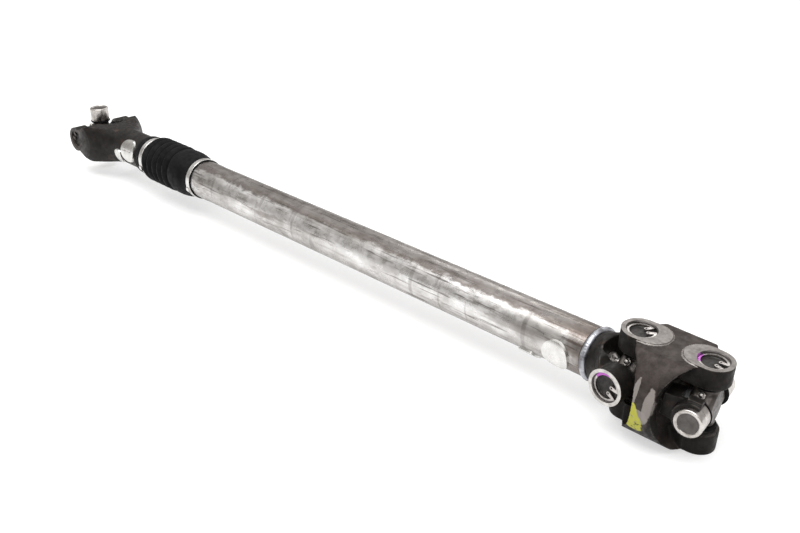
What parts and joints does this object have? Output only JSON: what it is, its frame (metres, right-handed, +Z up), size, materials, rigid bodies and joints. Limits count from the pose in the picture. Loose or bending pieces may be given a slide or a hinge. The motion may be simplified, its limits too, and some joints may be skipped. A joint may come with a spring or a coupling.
{
  "type": "universal joint shaft",
  "caption": "Steel tube drive shaft with a sliding splined fork under a bellows boot at one end and a double universal joint with a centring ball at the other.",
  "frame": {"origin": "on the ground below the middle of the whole shaft", "axes": "+X along the tube towards the double joint, +Y sideways along the forks' cross trunnions, +Z up"},
  "size_m": [1.1095, 0.1025, 0.0979],
  "materials": {
    "tube_steel": "bare drawn steel tube, mottled and handled, satin with a bright streak",
    "dark_forging": "dark forged steel, oiled",
    "link_forging": "brown-grey forged steel with machined ear pads",
    "ground_steel": "ground and hardened steel",
    "cap_steel": "drawn bearing cup, smooth and bright",
    "spring_steel": "blued spring steel",
    "plate_steel": "bright zinc-plated sheet steel",
    "weld_steel": "bluish weld bead",
    "boot_rubber": "matt black moulded rubber",
    "seal_rubber": "black nitrile lip seal"
  },
  "bodies": {
    "tube": {"drive_tube": "tube_steel", "spline_stub": "ground_steel", "stub_weld": "weld_steel", "tube_weld": "weld_steel", "tube_weight_large": "plate_steel", "tube_weight_small": "plate_steel", "tube_yoke": "dark_forging", "centring_pin": "ground_steel", "centring_ball": "ground_steel", "inner_cap_near": "cap_steel", "inner_cap_far": "cap_steel", "inner_snap_ring_near": "spring_steel", "inner_snap_ring_far": "spring_steel", "boot": "boot_rubber", "boot_clamp_large": "plate_steel"},
    "slip_yoke": {"slip_yoke": "dark_forging", "slip_yoke_plug": "plate_steel", "slip_weight_large": "plate_steel", "slip_weight_small": "plate_steel", "boot_clamp_small": "plate_steel", "axle_cap_near": "cap_steel", "axle_cap_far": "cap_steel", "axle_snap_ring_near": "spring_steel", "axle_snap_ring_far": "spring_steel"},
    "axle_cross": {"axle_cross": "ground_steel", "axle_grease_fitting": "plate_steel", "axle_seal_near": "seal_rubber", "axle_seal_far": "seal_rubber", "axle_seal_upper": "seal_rubber", "axle_seal_lower": "seal_rubber"},
    "axle_upper_cap": {"axle_cap_upper": "cap_steel"},
    "axle_lower_cap": {"axle_cap_lower": "cap_steel"},
    "inner_cross": {"inner_cross": "ground_steel", "inner_grease_fitting": "plate_steel", "inner_seal_near": "seal_rubber", "inner_seal_far": "seal_rubber", "inner_seal_upper": "seal_rubber", "inner_seal_lower": "seal_rubber"},
    "link_yoke": {"link_yoke": "link_forging", "inner_cap_upper": "cap_steel", "inner_cap_lower": "cap_steel", "inner_snap_ring_upper": "spring_steel", "inner_snap_ring_lower": "spring_steel", "outer_cap_upper": "cap_steel", "outer_cap_lower": "cap_steel", "outer_snap_ring_upper": "spring_steel", "outer_snap_ring_lower": "spring_steel"},
    "outer_cross": {"outer_cross": "ground_steel", "outer_grease_fitting": "plate_steel", "outer_seal_near": "seal_rubber", "outer_seal_far": "seal_rubber", "outer_seal_upper": "seal_rubber", "outer_seal_lower": "seal_rubber"},
    "centring_yoke": {"centring_yoke": "dark_forging", "centring_spring": "spring_steel", "outer_cap_near": "cap_steel", "outer_cap_far": "cap_steel"}
  },
  "joints": [
    {"name": "slip", "type": "slide", "parent": "tube", "child": "slip_yoke", "axis": [1, 0, 0], "range_m": [-0.035, 0.02], "deforming": ["boot"]},
    {"name": "axle_cross_pitch", "type": "hinge", "parent": "slip_yoke", "child": "axle_cross", "pos_m": [-0.5376, 0, 0.05201], "axis": [0, 1, 0], "range_deg": [-25, 25]},
    {"name": "axle_upper_cap_turn", "type": "hinge", "parent": "axle_cross", "child": "axle_upper_cap", "pos_m": [-0.5376, 0, 0.0833], "axis": [0, 0, 1], "continuous": true},
    {"name": "axle_lower_cap_turn", "type": "hinge", "parent": "axle_cross", "child": "axle_lower_cap", "pos_m": [-0.5376, 0, 0.0207], "axis": [0, 0, 1], "continuous": true},
    {"name": "inner_cross_pitch", "type": "hinge", "parent": "tube", "child": "inner_cross", "pos_m": [0.4624, 0, 0.05201], "axis": [0, 1, 0], "range_deg": [-15, 5]},
    {"name": "link_yoke_yaw", "type": "hinge", "parent": "inner_cross", "child": "link_yoke", "pos_m": [0.4624, 0, 0.05201], "axis": [0.0872, 0, 0.9962], "range_deg": [-16.5, 3.5]},
    {"name": "outer_cross_yaw", "type": "hinge", "parent": "link_yoke", "child": "outer_cross", "pos_m": [0.53168, 0.00792, 0.04595], "axis": [0.0872, 0, 0.9962], "range_deg": [-16.5, 3.5]},
    {"name": "centring_yoke_pitch", "type": "hinge", "parent": "outer_cross", "child": "centring_yoke", "pos_m": [0.53168, 0.00792, 0.04595], "axis": [-0.2241, 0.9744, 0.0196], "range_deg": [-15, 5]}
  ],
  "couplings": [
    {"joint": "outer_cross_yaw", "follows": "link_yoke_yaw", "ratio": 1},
    {"joint": "centring_yoke_pitch", "follows": "inner_cross_pitch", "ratio": 1}
  ]
}
